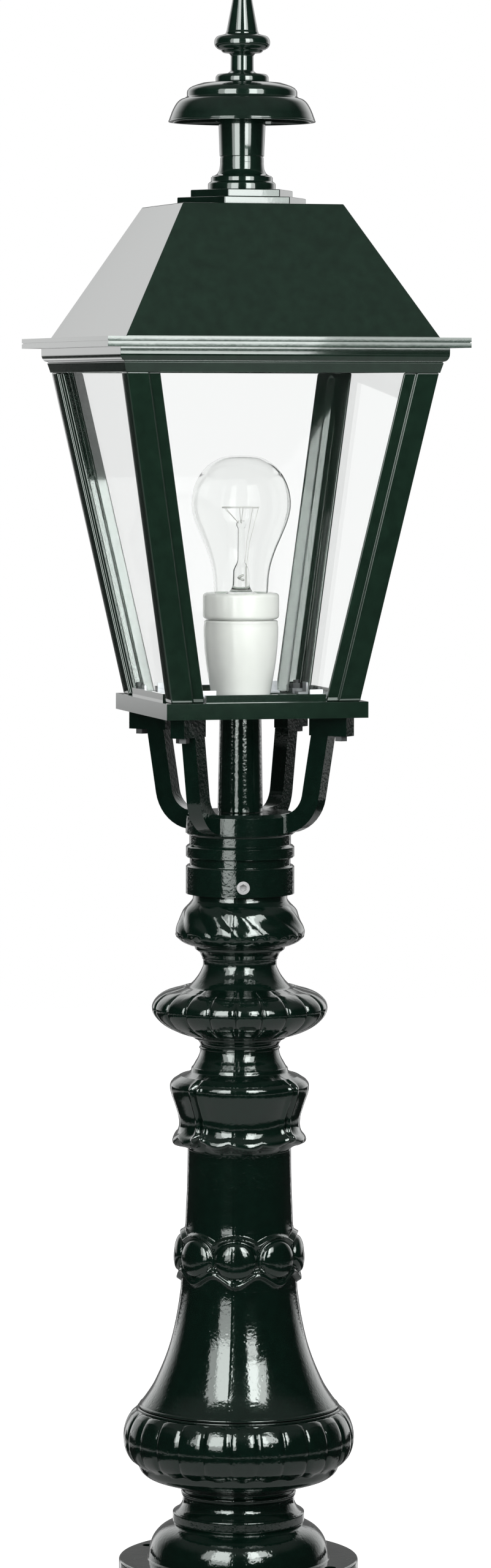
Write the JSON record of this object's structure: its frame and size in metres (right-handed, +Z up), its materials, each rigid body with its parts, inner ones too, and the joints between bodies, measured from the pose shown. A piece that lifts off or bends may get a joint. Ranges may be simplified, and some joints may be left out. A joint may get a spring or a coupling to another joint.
{
  "type": "garden lantern",
  "caption": "Short pedestal lantern: turned cast column on a round flange, four-arm spider, tapered square glazed head, hinged roof with chimney, canopy and finial.",
  "frame": {"origin": "centre of the round flange's underside, on the ground", "axes": "+Z up along the column, -Y to the lantern's front pane, hinges of the roof at +Y"},
  "size_m": [0.22, 0.22, 0.99],
  "materials": {
    "green_cast": "high-gloss dark green over cast metal",
    "green_sheet": "high-gloss dark green over sheet metal",
    "zinc": "zinc plated",
    "brass": "plain",
    "porcelain": "off-white glaze",
    "terminal": "matt",
    "lead": "matt sheath",
    "pane": "clear float glass",
    "bulb_clear": "clear blown glass",
    "cap_metal": "rolled screw cap"
  },
  "bodies": {
    "post": {"foot": "green_cast", "bowl": "green_cast", "column": "green_cast", "capital": "green_cast", "tie_tube": "zinc", "tie_nuts": "zinc", "tie_washers": "zinc", "terminal_bracket": "zinc", "terminal_block": "terminal", "terminal_screws": "brass", "earth_screw": "brass", "inner_lead": "lead"},
    "head": {"spider": "green_cast", "grub_screws": "zinc", "stem_sleeve": "green_cast", "stem_nipple": "brass", "nipple_nut": "brass", "lug_bolts": "zinc", "lug_nuts": "zinc", "base_frame": "green_cast", "floor_plate": "zinc", "floor_screws": "zinc", "post_cleats": "zinc", "glass_clips": "zinc", "post_front_left": "green_sheet", "post_front_right": "green_sheet", "post_back_right": "green_sheet", "post_back_left": "green_sheet", "glass_front": "pane", "glass_right": "pane", "glass_back": "pane", "glass_left": "pane", "rail_front": "green_sheet", "rail_right": "green_sheet", "rail_back": "green_sheet", "rail_left": "green_sheet", "post_gussets": "green_sheet", "rail_screws": "zinc", "hinge_frame_leaves": "green_sheet", "hinge_frame_screws": "zinc", "hinge_pins": "zinc", "holder_body": "porcelain", "holder_ring": "porcelain", "holder_shell": "brass", "holder_contact": "brass"},
    "roof": {"hinge_roof_leaves": "green_sheet", "hinge_rivets": "zinc", "eave": "green_sheet", "roof_shell": "green_sheet", "chimney_plinth": "green_cast", "chimney": "green_cast", "canopy": "green_cast", "canopy_spacer": "zinc", "finial": "green_cast", "finial_rod": "zinc", "clamp_strap": "zinc", "clamp_nut": "zinc"},
    "bulb": {"bulb_glass": "bulb_clear", "bulb_stem": "bulb_clear", "bulb_cap": "cap_metal"}
  },
  "joints": [
    {"name": "head_turn", "type": "hinge", "parent": "post", "child": "head", "pos_m": [0, 0, 0.43], "axis": [0, 0, 1], "range_deg": [-180, 180]},
    {"name": "roof_hinge", "type": "hinge", "parent": "head", "child": "roof", "pos_m": [0, 0.1052, 0.7436], "axis": [-1, 0, 0], "range_deg": [0, 100]},
    {"name": "bulb_unscrew", "type": "slide", "parent": "head", "child": "bulb", "axis": [0, 0, 1], "range_m": [0, 0.026]}
  ]
}
